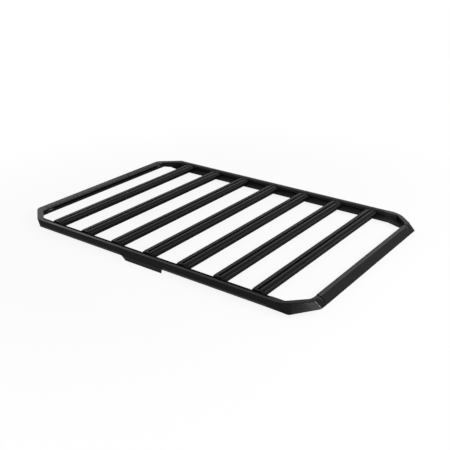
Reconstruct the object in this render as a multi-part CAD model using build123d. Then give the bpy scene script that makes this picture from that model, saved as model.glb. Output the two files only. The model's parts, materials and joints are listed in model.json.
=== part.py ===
from build123d import *
import os

os.makedirs("parts", exist_ok=True)

# Flat platform roof rack: extruded rails and cast corners make a ring that carries seven slotted cross bars.
# Frame: +X to the front of the vehicle, +Y to its left, +Z up, in millimetres.
# The origin lies under the middle of the rack, level with the lower edge of the side plate.

# Overall size
LENGTH = 1912.0
WIDTH = 1295.0
SIDE_HEIGHT = 43.0
BAR_HEIGHT = 33.0
END_HEIGHT = 31.0
PLATE_DROP = 20.0

# Edges and walls that the extrusions share
TOP_ROUND = 3.0
EDGE_ROUND = 1.5
WALL = 2.6
CHAMBER_BEVEL = 1.0

# Side rails: a box with a slot in its inner wall, a shelf for the cross bars and a foot that leans in
SIDE_TOP_WIDTH = 36.5
SIDE_ROUND = 4.5
SIDE_CAP_WIDTH = 19.0
SIDE_LEDGE_DROP = 1.2
FOOT_HEIGHT = 13.0
FOOT_INSET = 3.0
SHELF_REACH = 75.0
SHELF_GROOVE_PITCH = 11.0
SIDE_SLOT_DROP = 20.5

# End rails: the rear one is square, the front one has a raked face
REAR_TOP_WIDTH = 59.0
FRONT_TOP_WIDTH = 24.0
FRONT_RAKE = 36.0
END_SLOT_DROP = 11.0
END_SEAM = 0.8

# Slot in the inner wall of every rail
RAIL_SLOT_MOUTH = 8.0
RAIL_SLOT_LIP = 3.0
RAIL_SLOT_CHAMBER = 14.0
RAIL_SLOT_DEPTH = 7.0

# Grip ribs on the tops: square grooves at an even pitch
RIB_PITCH = 6.0
RIB_GROOVE = 2.2
RIB_DEPTH = 0.9

# Rear corners, in plan: a chamfer between straight runs, which leans in towards the foot beside the side rail
REAR_CHAMFER_LENGTH = 131.0
REAR_CHAMFER_WIDTH = 110.0
REAR_SIDE_RUN = 26.0
REAR_END_RUN = 30.0
REAR_FOOT_RUN = 5.0
REAR_INNER_SIDE_STUB = 16.0
REAR_INNER_END_STUB = 35.0
REAR_BEND_ROUND = 30.0
REAR_FOOT_ROUND = 8.0
REAR_END_ROUND = 50.0

# Front corners, in plan: the chamfer's ends lie further out at the foot than at the top, so its face is raked
FRONT_SIDE_RUN = 76.0
FRONT_TOP_BEND = 145.0
FRONT_FOOT_BEND = 103.0
FRONT_TOP_TIP = 104.0
FRONT_FOOT_TIP = 117.0
FRONT_TIP_LAND = 18.0
FRONT_INNER_BEND = 145.0
FRONT_INNER_TIP = 121.0
FRONT_TOP_ROUND = 130.0
FRONT_FOOT_ROUND = 26.0
FRONT_TOP_TIP_ROUND = 60.0
FRONT_FOOT_TIP_ROUND = 30.0
FRONT_INNER_TIP_ROUND = 30.0
FRONT_END_BEVEL = 2.4
NECK_LENGTH = 29.0
NECK_INSET = 2.0
SHADOW_GAP = 5.0
SHADOW_INSET = 4.0
SHELF_RUN = 40.0

# Edges that both kinds of corner share
INNER_ROUND = 16.0
CORNER_BEVEL = 2.2

# Bolt recesses in the inner walls of the corners
RECESS_DIAMETER = 9.0
RECESS_DEPTH = 10.0
RECESS_DROP = 19.0
FRONT_RECESS_SETBACK = 44.0

# Cross bars
BAR_COUNT = 7
BAR_REAR_SETBACK = 246.6
BAR_FRONT_SETBACK = 300.4
BAR_WIDTH = 65.0
BAR_LEAN = 2.0
BAR_REAR_DROP = 2.5
BAR_FRONT_DROP = 6.5
BAR_NOSE_ROUND = 4.0
BAR_CROWN = 1.7
BAR_SLOT_MOUTH = 10.0
BAR_SLOT_LIP = 3.5
BAR_SLOT_CHAMBER = 20.0
BAR_SLOT_DEPTH = 8.0
BAR_RIB_COUNT = 4
ENTRY_LENGTH = 20.0
ENTRY_WIDENING = 5.0

# Brackets that hold the bar ends to the side rails
BRACKET_LENGTH = 21.0
BRACKET_GAP = 10.0
BRACKET_FOOT_HEIGHT = 8.0
BRACKET_INSET = 0.8

# Splices that slide into the rail slots behind each corner
SPLICE_LENGTH = 45.0
SPLICE_CLEARANCE = 0.25

# Side plate under the right-hand rail
PLATE_THICKNESS = 3.0
PLATE_REAR_X = -178.0
PLATE_FRONT_X = 107.0
PLATE_REAR_SLANT = 36.0
PLATE_FRONT_SLANT = 3.0
PLATE_LAP = 10.0
PLATE_RETURN = 30.0

# Places that follow from the sizes above
REAR_X = -LENGTH / 2
FRONT_X = LENGTH / 2
RIGHT_Y = -WIDTH / 2
BOTTOM = PLATE_DROP
TOP = BOTTOM + SIDE_HEIGHT
SEAT = TOP - BAR_HEIGHT
END_BOTTOM = TOP - END_HEIGHT
FRONT_DEPTH = FRONT_RAKE + FRONT_TOP_WIDTH
FRONT_WALL_X = FRONT_X - FRONT_DEPTH
FRONT_HEAD_X = FRONT_X - FRONT_RAKE
FRONT_FOOT_X = FRONT_HEAD_X + FRONT_RAKE * SIDE_HEIGHT / END_HEIGHT
REAR_WALL_X = REAR_X + REAR_TOP_WIDTH
WALL_Y = RIGHT_Y + SIDE_TOP_WIDTH
SHELF_Y = RIGHT_Y + SHELF_REACH
SIDE_REAR_X = REAR_X + REAR_CHAMFER_LENGTH + REAR_SIDE_RUN
SIDE_FRONT_X = FRONT_X - FRONT_TOP_BEND - FRONT_SIDE_RUN
REAR_END_Y = RIGHT_Y + REAR_CHAMFER_WIDTH + REAR_END_RUN
NECK_Y = RIGHT_Y + FRONT_FOOT_TIP + FRONT_TIP_LAND
SHADOW_Y = NECK_Y + NECK_LENGTH
FRONT_END_Y = SHADOW_Y + SHADOW_GAP
BAR_END_Y = WALL_Y + BRACKET_LENGTH
BAR_PITCH = (LENGTH - BAR_REAR_SETBACK - BAR_FRONT_SETBACK) / (BAR_COUNT - 1)


def vertex_at(sketch, x, y):
    """Picks the corner of a sketch that lies nearest to a point."""
    return sketch.vertices().sort_by_distance((x, y, 0))[0]


def edges_along(part, path):
    """Picks the edges of a solid whose middles lie on a path."""
    return [edge for edge in part.edges() if path.distance_to(edge @ 0.5) < 0.01]


def chamber(points):
    """Hollow of an extrusion, with small bevels in its corners."""
    outline = make_face(Polyline(*points, close=True))
    return chamfer(outline.vertices(), CHAMBER_BEVEL)


def slot_outline(mouth, lip, chamber_width, depth):
    """Outline of a T-slot with the middle of its mouth on the origin, running inwards along X."""
    return make_face(
        Polyline(
            (0, -mouth / 2),
            (lip, -mouth / 2),
            (lip, -chamber_width / 2),
            (lip + depth, -chamber_width / 2),
            (lip + depth, chamber_width / 2),
            (lip, chamber_width / 2),
            (lip, mouth / 2),
            (0, mouth / 2),
            close=True,
        )
    )


def rail_slot(wall, centre):
    """Slot in an inner wall: the wall's distance from the outer face, and the height of the slot's middle."""
    outline = slot_outline(RAIL_SLOT_MOUTH, RAIL_SLOT_LIP, RAIL_SLOT_CHAMBER, RAIL_SLOT_DEPTH)
    return Pos(wall, centre) * Rot(0, 0, 180) * outline


def behind_slot(wall):
    """Distance from the outer face to which a hollow may reach in front of a slot's chamber."""
    return wall - RAIL_SLOT_LIP - RAIL_SLOT_DEPTH - WALL


def rib_grooves(start, width):
    """Grip grooves centred on a strip of a top face, which starts at a distance from the outer face."""
    count = int((width - RIB_GROOVE) // RIB_PITCH)
    first = start + width / 2 - (count - 1) * RIB_PITCH / 2
    groove = Rectangle(RIB_GROOVE, 2 * RIB_DEPTH)
    return [Pos(first + i * RIB_PITCH, TOP) * groove for i in range(count)]


def side_rail_profile():
    """Section of a side rail: X runs inwards from the outer face, Y is the height."""
    with BuildSketch() as section:
        with BuildLine():
            Polyline(
                (0, BOTTOM + FOOT_HEIGHT),
                (FOOT_INSET, BOTTOM),
                (SHELF_REACH, BOTTOM),
                (SHELF_REACH, SEAT),
                (SIDE_TOP_WIDTH, SEAT),
                (SIDE_TOP_WIDTH, TOP - SIDE_LEDGE_DROP),
                (SIDE_CAP_WIDTH, TOP - SIDE_LEDGE_DROP),
                (SIDE_CAP_WIDTH, TOP),
                (0, TOP),
                close=True,
            )
        make_face()
        fillet(vertex_at(section, 0, TOP), SIDE_ROUND)
        fillet(vertex_at(section, SHELF_REACH, SEAT), EDGE_ROUND)
        fillet(vertex_at(section, SHELF_REACH, BOTTOM), EDGE_ROUND)
        fillet(vertex_at(section, SIDE_TOP_WIDTH, TOP - SIDE_LEDGE_DROP), EDGE_ROUND)
    profile = section.sketch - rail_slot(SIDE_TOP_WIDTH, TOP - SIDE_SLOT_DROP)
    inner = behind_slot(SIDE_TOP_WIDTH)
    roof = TOP - SIDE_LEDGE_DROP - WALL
    profile -= chamber([(WALL, SEAT), (inner, SEAT), (inner, roof), (WALL, roof)])
    floor = BOTTOM + WALL
    outer = FOOT_INSET + WALL
    profile -= chamber(
        [(outer, floor), (SHELF_REACH - WALL, floor), (SHELF_REACH - WALL, SEAT - WALL), (outer, SEAT - WALL)]
    )
    groove = Rectangle(RIB_GROOVE, 2 * RIB_DEPTH)
    for i in (1, 2):
        profile -= Pos(SIDE_TOP_WIDTH + i * SHELF_GROOVE_PITCH, SEAT) * groove
    return profile


def rear_rail_profile():
    """Section of the rear rail: X runs inwards from the rear face, Y is the height."""
    with BuildSketch() as section:
        with BuildLine():
            Polyline(
                (0, END_BOTTOM),
                (REAR_TOP_WIDTH, END_BOTTOM),
                (REAR_TOP_WIDTH, TOP),
                (0, TOP),
                close=True,
            )
        make_face()
        fillet(vertex_at(section, 0, TOP), TOP_ROUND)
        fillet(vertex_at(section, 0, END_BOTTOM), TOP_ROUND)
        fillet(vertex_at(section, REAR_TOP_WIDTH, TOP), EDGE_ROUND)
        fillet(vertex_at(section, REAR_TOP_WIDTH, END_BOTTOM), EDGE_ROUND)
    profile = section.sketch - rail_slot(REAR_TOP_WIDTH, TOP - END_SLOT_DROP)
    inner = behind_slot(REAR_TOP_WIDTH)
    roof = TOP - RIB_DEPTH - WALL
    floor = END_BOTTOM + WALL
    profile -= chamber([(WALL, floor), (inner, floor), (inner, roof), (WALL, roof)])
    for groove in rib_grooves(TOP_ROUND, REAR_TOP_WIDTH - TOP_ROUND):
        profile -= groove
    return profile


def front_rail_outline(inset):
    """Raked section of the front rail, with its top and the head of its face drawn in by a margin."""
    with BuildSketch() as section:
        with BuildLine():
            Polyline(
                (0, END_BOTTOM),
                (FRONT_DEPTH, END_BOTTOM),
                (FRONT_DEPTH, TOP - inset),
                (FRONT_RAKE + inset, TOP - inset),
                close=True,
            )
        make_face()
        fillet(vertex_at(section, FRONT_RAKE + inset, TOP - inset), TOP_ROUND)
        fillet(vertex_at(section, FRONT_DEPTH, TOP - inset), EDGE_ROUND)
    return section.sketch


def front_rail_profile():
    """Section of the front rail: X runs inwards from the foot of the raked face, Y is the height."""
    profile = front_rail_outline(0) - rail_slot(FRONT_DEPTH, TOP - END_SLOT_DROP)
    inner = behind_slot(FRONT_DEPTH)
    floor = END_BOTTOM + WALL
    roof = TOP - RIB_DEPTH - WALL
    slope = FRONT_RAKE / END_HEIGHT
    skin = WALL * (1 + slope**2) ** 0.5
    low = skin + slope * WALL
    high = low + slope * (roof - floor)
    profile -= chamber([(low, floor), (inner, floor), (inner, roof), (high, roof)])
    for groove in rib_grooves(FRONT_RAKE + TOP_ROUND, FRONT_TOP_WIDTH - TOP_ROUND):
        profile -= groove
    return profile


def bar_outline(width, top):
    """Outer section of a cross bar: a flat rear land and a front land that falls away to a rounded nose."""
    half = width / 2
    lip = BAR_SLOT_MOUTH / 2
    nose_top = (half - BAR_NOSE_ROUND, top - BAR_FRONT_DROP)
    nose_front = (half, top - BAR_FRONT_DROP - BAR_NOSE_ROUND)
    crown = ((lip + nose_top[0]) / 2, top - BAR_FRONT_DROP / 2 + BAR_CROWN)
    with BuildSketch() as section:
        with BuildLine():
            Polyline(
                nose_front,
                (half - BAR_LEAN, SEAT),
                (-half + BAR_LEAN, SEAT),
                (-half, top - BAR_REAR_DROP),
                (-lip, top),
                (lip, top),
            )
            ThreePointArc((lip, top), crown, nose_top)
            RadiusArc(nose_top, nose_front, BAR_NOSE_ROUND)
        make_face()
        fillet(vertex_at(section, -half, top - BAR_REAR_DROP), EDGE_ROUND)
        fillet(vertex_at(section, half - BAR_LEAN, SEAT), EDGE_ROUND)
        fillet(vertex_at(section, -half + BAR_LEAN, SEAT), EDGE_ROUND)
    return section.sketch


def bar_profile():
    """Section of a cross bar: slots above and below, a hollow on each side and grip ribs on the rear land."""
    slot = slot_outline(BAR_SLOT_MOUTH, BAR_SLOT_LIP, BAR_SLOT_CHAMBER, BAR_SLOT_DEPTH)
    profile = bar_outline(BAR_WIDTH, TOP)
    profile -= Pos(0, TOP) * Rot(0, 0, -90) * slot
    profile -= Pos(0, SEAT) * Rot(0, 0, 90) * slot
    near = BAR_SLOT_CHAMBER / 2 + WALL
    far = BAR_WIDTH / 2 - BAR_LEAN - WALL
    floor = SEAT + WALL
    rear_roof = TOP - BAR_REAR_DROP - RIB_DEPTH - WALL
    front_roof = TOP - BAR_FRONT_DROP - WALL
    profile -= chamber([(-far, floor), (-near, floor), (-near, rear_roof), (-far, rear_roof)])
    profile -= chamber([(near, floor), (far, floor), (far, front_roof), (near, front_roof)])
    land = (BAR_WIDTH - BAR_SLOT_MOUTH) / 2
    middle = -(BAR_SLOT_MOUTH + land) / 2
    fall = BAR_REAR_DROP / land
    for i in range(BAR_RIB_COUNT):
        x = middle + (i - (BAR_RIB_COUNT - 1) / 2) * RIB_PITCH
        y = TOP + (x + BAR_SLOT_MOUTH / 2) * fall
        profile -= Pos(x, y) * Rectangle(RIB_GROOVE, 2 * RIB_DEPTH)
    return profile


def along_x(profile, start, end):
    """Carries a right-hand side section along the vehicle."""
    plane = Plane(origin=(start, RIGHT_Y, 0), x_dir=(0, 1, 0), z_dir=(1, 0, 0))
    return extrude(plane * profile, amount=end - start)


def across_y(profile, middle, start, end):
    """Carries a section across the vehicle: its X runs forwards from a place along the vehicle."""
    plane = Plane(origin=(middle, end, 0), x_dir=(1, 0, 0), z_dir=(0, -1, 0))
    return extrude(plane * profile, amount=end - start)


def across_front(profile, start, end):
    """Carries a front rail section across the vehicle: its X runs rearwards from the front edge."""
    plane = Plane(origin=(FRONT_X, start, 0), x_dir=(-1, 0, 0), z_dir=(0, 1, 0))
    return extrude(plane * profile, amount=end - start)


def other_side(part):
    """Mirrors a right-hand piece to the left."""
    return mirror(part, about=Plane.XZ)


def plan_face(outer, inner):
    """Closes an outer and an inner path, which run round the same way, into a face."""
    ends = [Line(outer @ 1, inner @ 0), Line(inner @ 1, outer @ 0)]
    return make_face(outer.edges() + inner.edges() + ends)


def recess(x, y, drop, direction):
    """Blind bolt recess that runs into a corner from a place on its inner wall, at a depth below the top."""
    plane = Plane(origin=(x, y, TOP - drop), z_dir=direction)
    return extrude(plane * Circle(RECESS_DIAMETER / 2), amount=RECESS_DEPTH)


def lofted_wall(foot_paths, head_paths):
    """Wall of a corner between its outlines at the foot and at the top, with a bevel along its outer top edge."""
    foot = Pos(0, 0, BOTTOM) * plan_face(*foot_paths)
    head = Pos(0, 0, TOP) * plan_face(*head_paths)
    wall = loft([foot.face(), head.face()], ruled=True)
    return chamfer(edges_along(wall, Pos(0, 0, TOP) * head_paths[0]), CORNER_BEVEL)


def under_ramp(low_x, high_x, end_x):
    """Space below a right-hand corner whose underside rises from the side rail's level to the end rail's."""
    space = make_face(
        Polyline((low_x, BOTTOM), (high_x, END_BOTTOM), (end_x, END_BOTTOM), (end_x, BOTTOM), close=True)
    )
    plane = Plane(origin=(0, RIGHT_Y, 0), x_dir=(1, 0, 0), z_dir=(0, -1, 0))
    return extrude(plane * space, amount=-WIDTH / 2)


def foot_lean(start_x, end_x):
    """Sliver cut from a right-hand corner's foot, so that the side rail's lean dies out towards the bend."""
    plane = Plane(origin=(start_x, RIGHT_Y, 0), x_dir=(0, 1, 0), z_dir=(1, 0, 0))
    lean = make_face(Polyline((0, BOTTOM), (FOOT_INSET, BOTTOM), (0, BOTTOM + FOOT_HEIGHT), close=True))
    return loft([(plane * lean).face(), Vertex(end_x, RIGHT_Y, BOTTOM)])


def rear_paths(bend_x, bend_round):
    """Outer and inner paths of the rear corner's wall at one height."""
    outer = FilletPolyline(
        (SIDE_REAR_X, RIGHT_Y),
        (bend_x, RIGHT_Y),
        (REAR_X, RIGHT_Y + REAR_CHAMFER_WIDTH),
        (REAR_X, REAR_END_Y),
        radius=[bend_round, REAR_END_ROUND],
    )
    inner = FilletPolyline(
        (REAR_WALL_X, REAR_END_Y),
        (REAR_WALL_X, REAR_END_Y - REAR_INNER_END_STUB),
        (SIDE_REAR_X - REAR_INNER_SIDE_STUB, WALL_Y),
        (SIDE_REAR_X, WALL_Y),
        radius=INNER_ROUND,
    )
    return outer, inner


def rear_corner():
    """Right rear corner: a chamfered wall between the side rail and the rear rail, with the shelf's end."""
    foot_paths = rear_paths(SIDE_REAR_X - REAR_FOOT_RUN, REAR_FOOT_ROUND)
    head_paths = rear_paths(REAR_X + REAR_CHAMFER_LENGTH, REAR_BEND_ROUND)
    wall = lofted_wall(foot_paths, head_paths)
    inner_x = SIDE_REAR_X - REAR_INNER_SIDE_STUB
    inner_y = REAR_END_Y - REAR_INNER_END_STUB
    slope = (inner_x - REAR_WALL_X) / (inner_y - WALL_Y)
    shelf = make_face(
        Polyline(
            (SIDE_REAR_X, WALL_Y),
            (SIDE_REAR_X, SHELF_Y),
            (inner_x - slope * (SHELF_Y - WALL_Y), SHELF_Y),
            (inner_x, WALL_Y),
            close=True,
        )
    )
    corner = wall + extrude(Pos(0, 0, BOTTOM) * shelf, amount=SEAT - BOTTOM)
    corner -= under_ramp(SIDE_REAR_X, REAR_WALL_X, REAR_X)
    corner -= foot_lean(SIDE_REAR_X, SIDE_REAR_X - REAR_SIDE_RUN)
    corner -= recess(SIDE_REAR_X - REAR_INNER_SIDE_STUB / 2, WALL_Y, RECESS_DROP, (0, -1, 0))
    return corner - recess(REAR_WALL_X, REAR_END_Y - REAR_INNER_END_STUB / 2, END_SLOT_DROP, (-1, 0, 0))


def front_paths(bend, bend_round, tip, tip_round, front_x):
    """Outer and inner paths of the front corner's wall at one height."""
    outer = FilletPolyline(
        (SIDE_FRONT_X, RIGHT_Y),
        (FRONT_X - bend, RIGHT_Y),
        (front_x, RIGHT_Y + tip),
        (front_x, NECK_Y),
        radius=[bend_round, tip_round],
    )
    inner = FilletPolyline(
        (FRONT_WALL_X, NECK_Y),
        (FRONT_WALL_X, RIGHT_Y + FRONT_INNER_TIP),
        (FRONT_X - FRONT_INNER_BEND, WALL_Y),
        (SIDE_FRONT_X, WALL_Y),
        radius=[FRONT_INNER_TIP_ROUND, INNER_ROUND],
    )
    return outer, inner


def front_corner():
    """Right front corner: upright beside the side rail, then a raked chamfer, then the front rail's own rake."""
    foot_paths = front_paths(
        FRONT_FOOT_BEND, FRONT_FOOT_ROUND, FRONT_FOOT_TIP, FRONT_FOOT_TIP_ROUND, FRONT_FOOT_X
    )
    head_paths = front_paths(
        FRONT_TOP_BEND, FRONT_TOP_ROUND, FRONT_TOP_TIP, FRONT_TOP_TIP_ROUND, FRONT_HEAD_X
    )
    wall = lofted_wall(foot_paths, head_paths)
    end_edge = Line((FRONT_FOOT_X, NECK_Y, BOTTOM), (FRONT_HEAD_X, NECK_Y, TOP))
    wall = chamfer(edges_along(wall, end_edge), FRONT_END_BEVEL)
    shelf = make_face(
        Polyline(
            (SIDE_FRONT_X, WALL_Y),
            (SIDE_FRONT_X, SHELF_Y),
            (SIDE_FRONT_X + SHELF_RUN, SHELF_Y),
            (FRONT_WALL_X, RIGHT_Y + FRONT_INNER_TIP),
            (FRONT_X - FRONT_INNER_BEND, WALL_Y),
            close=True,
        )
    )
    corner = wall + extrude(Pos(0, 0, BOTTOM) * shelf, amount=SEAT - BOTTOM)
    corner -= under_ramp(FRONT_X - FRONT_FOOT_BEND, FRONT_X, FRONT_FOOT_X)
    corner -= foot_lean(SIDE_FRONT_X, FRONT_X - FRONT_FOOT_BEND)
    corner += across_front(front_rail_outline(NECK_INSET), NECK_Y, SHADOW_Y)
    corner += across_front(front_rail_outline(SHADOW_INSET), SHADOW_Y, FRONT_END_Y)
    return corner - recess(SIDE_FRONT_X + FRONT_RECESS_SETBACK, WALL_Y, RECESS_DROP, (0, -1, 0))


def cross_bar(middle):
    """Slotted cross bar with a widened slot entry at each end: rearwards on the right, forwards on the left."""
    bar = across_y(bar_profile(), middle, BAR_END_Y, -BAR_END_Y)
    depth = BAR_SLOT_LIP + BAR_SLOT_DEPTH
    for side in (-1, 1):
        place = Pos(
            middle + side * (BAR_SLOT_MOUTH + ENTRY_WIDENING) / 2,
            side * (-BAR_END_Y - ENTRY_LENGTH / 2),
            TOP - depth / 2,
        )
        bar -= place * Box(ENTRY_WIDENING, ENTRY_LENGTH, depth)
    return bar


def bar_bracket(middle):
    """Right-hand end bracket: a cap over the bar's end and a foot that reaches the rail's wall under its lip."""
    outline = bar_outline(BAR_WIDTH - 2 * BRACKET_INSET, TOP - BRACKET_INSET)
    block = across_y(outline, middle, WALL_Y, BAR_END_Y)
    gap_height = BAR_HEIGHT - BRACKET_FOOT_HEIGHT
    gap = Pos(middle, WALL_Y + BRACKET_GAP / 2, TOP - gap_height / 2) * Box(BAR_WIDTH, BRACKET_GAP, gap_height)
    return block - gap


def splice_profile(wall, centre):
    """Section of a splice: the rail's slot drawn in by the clearance."""
    mouth = RAIL_SLOT_MOUTH - 2 * SPLICE_CLEARANCE
    chamber_width = RAIL_SLOT_CHAMBER - 2 * SPLICE_CLEARANCE
    lip = RAIL_SLOT_LIP + SPLICE_CLEARANCE
    depth = RAIL_SLOT_DEPTH - 2 * SPLICE_CLEARANCE
    return Pos(wall, centre) * Rot(0, 0, 180) * slot_outline(mouth, lip, chamber_width, depth)


def side_plate():
    """Slanted plate that fills out the rail's leaning foot, hangs below it and returns under it."""
    lean = FOOT_INSET / FOOT_HEIGHT
    depth = FOOT_INSET + PLATE_RETURN
    section = make_face(
        Polyline(
            (0, 0),
            (PLATE_THICKNESS, 0),
            (PLATE_THICKNESS, BOTTOM - PLATE_THICKNESS),
            (depth, BOTTOM - PLATE_THICKNESS),
            (depth, BOTTOM),
            (FOOT_INSET, BOTTOM),
            ((FOOT_HEIGHT - PLATE_LAP) * lean, BOTTOM + PLATE_LAP),
            (0, BOTTOM + PLATE_LAP),
            close=True,
        )
    )
    angle = along_x(section, PLATE_REAR_X, PLATE_FRONT_X)
    face = make_face(
        Polyline(
            (PLATE_REAR_X + PLATE_REAR_SLANT, 0),
            (PLATE_FRONT_X - PLATE_FRONT_SLANT, 0),
            (PLATE_FRONT_X, BOTTOM + PLATE_LAP),
            (PLATE_REAR_X, BOTTOM + PLATE_LAP),
            close=True,
        )
    )
    outer = Plane(origin=(0, RIGHT_Y, 0), x_dir=(1, 0, 0), z_dir=(0, -1, 0))
    return angle & extrude(outer * face, amount=-depth)


def save(node, part):
    """Writes one node."""
    export_step(part, f"parts/{node}.step")


def save_pair(node, part):
    """Writes a right-hand piece and its mirror image."""
    save(f"{node}_right", part)
    save(f"{node}_left", other_side(part))


rear_end = REAR_END_Y + END_SEAM
front_end = FRONT_END_Y + END_SEAM
save_pair("side_rail", along_x(side_rail_profile(), SIDE_REAR_X, SIDE_FRONT_X))
save("rear_rail", across_y(rear_rail_profile(), REAR_X, rear_end, -rear_end))
save("front_rail", across_front(front_rail_profile(), front_end, -front_end))
save_pair("rear_corner", rear_corner())
save_pair("front_corner", front_corner())

for number in range(BAR_COUNT):
    bar_x = REAR_X + BAR_REAR_SETBACK + number * BAR_PITCH
    save(f"cross_bar_{number + 1}", cross_bar(bar_x))
    save_pair(f"bar_bracket_{number + 1}", bar_bracket(bar_x))

side_splice = splice_profile(SIDE_TOP_WIDTH, TOP - SIDE_SLOT_DROP)
rear_splice = splice_profile(REAR_TOP_WIDTH, TOP - END_SLOT_DROP)
front_splice = splice_profile(FRONT_DEPTH, TOP - END_SLOT_DROP)
save_pair("side_splice_rear", along_x(side_splice, SIDE_REAR_X, SIDE_REAR_X + SPLICE_LENGTH))
save_pair("side_splice_front", along_x(side_splice, SIDE_FRONT_X - SPLICE_LENGTH, SIDE_FRONT_X))
save_pair("rear_splice", across_y(rear_splice, REAR_X, REAR_END_Y, REAR_END_Y + SPLICE_LENGTH))
save_pair("front_splice", across_front(front_splice, FRONT_END_Y, FRONT_END_Y + SPLICE_LENGTH))

save("side_plate", side_plate())
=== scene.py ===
"""Looks of a flat platform roof rack: finishes, fasteners, studio and camera around the fixed solids."""

import json
import logging
import math
from collections.abc import Iterable
from dataclasses import dataclass, field
from enum import Enum
from functools import reduce

import bmesh
import bpy
import numpy as np
from mathutils import Matrix, Vector


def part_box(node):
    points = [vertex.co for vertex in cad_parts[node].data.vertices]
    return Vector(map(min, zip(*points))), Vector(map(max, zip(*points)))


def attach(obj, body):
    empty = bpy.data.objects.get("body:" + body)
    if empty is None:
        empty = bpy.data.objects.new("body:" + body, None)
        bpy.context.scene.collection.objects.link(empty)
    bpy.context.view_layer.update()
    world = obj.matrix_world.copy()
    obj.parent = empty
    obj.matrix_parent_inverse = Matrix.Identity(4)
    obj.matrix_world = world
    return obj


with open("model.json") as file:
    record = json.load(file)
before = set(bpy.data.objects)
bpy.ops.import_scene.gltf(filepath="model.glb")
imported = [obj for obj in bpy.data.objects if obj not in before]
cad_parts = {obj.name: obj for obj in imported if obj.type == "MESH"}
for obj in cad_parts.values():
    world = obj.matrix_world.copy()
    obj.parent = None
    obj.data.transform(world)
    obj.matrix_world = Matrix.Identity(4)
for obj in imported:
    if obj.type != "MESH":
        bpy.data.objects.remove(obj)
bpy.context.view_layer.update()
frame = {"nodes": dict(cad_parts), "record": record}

LOG = logging.getLogger("roof_rack")
BODY = "root"
MM = 0.001
JOIN_DISTANCE = 1e-6
SHARP_ANGLE = math.radians(35.0)

Colour = tuple[float, float, float]
Point = tuple[float, float, float]
Span = tuple[float, float]
Surface = tuple[np.ndarray, np.ndarray]
Socket = bpy.types.NodeSocket

NONE_TO_ALL: Span = (0.0, 1.0)
NOISE_CORE: Span = (0.3, 0.7)


class Facing(Enum):
    """Direction in which a screw's head points."""

    FORWARD = (1.0, 0.0, 0.0)
    REARWARD = (-1.0, 0.0, 0.0)
    LEFT = (0.0, 1.0, 0.0)
    RIGHT = (0.0, -1.0, 0.0)
    DOWN = (0.0, 0.0, -1.0)

    def rotation(self) -> np.ndarray:
        """Rotation that turns +Z to this direction.

        Returns:
            Matrix whose third column is the direction.
        """
        axis = np.array(self.value)
        across = np.array((1.0, 0.0, 0.0) if self is Facing.DOWN else (0.0, 0.0, 1.0))
        return np.column_stack((across, np.cross(axis, across), axis))


class Side(Enum):
    """Side of the vehicle, with the sign of its Y."""

    RIGHT = -1.0
    LEFT = 1.0

    @property
    def label(self) -> str:
        """Ending of the names of this side's pieces."""
        return self.name.lower()

    @property
    def inward(self) -> Facing:
        """Direction from this side towards the middle of the rack."""
        return Facing.LEFT if self is Side.RIGHT else Facing.RIGHT

    def edges(self, low: Vector, high: Vector) -> Span:
        """Returns the Y of a box's outer face, and of its inner one."""
        return (low.y, high.y) if self is Side.RIGHT else (high.y, low.y)


@dataclass(frozen=True)
class Noise:
    """Even noise: its grains per metre, and its number of finer layers."""

    scale: float
    detail: float


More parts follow.
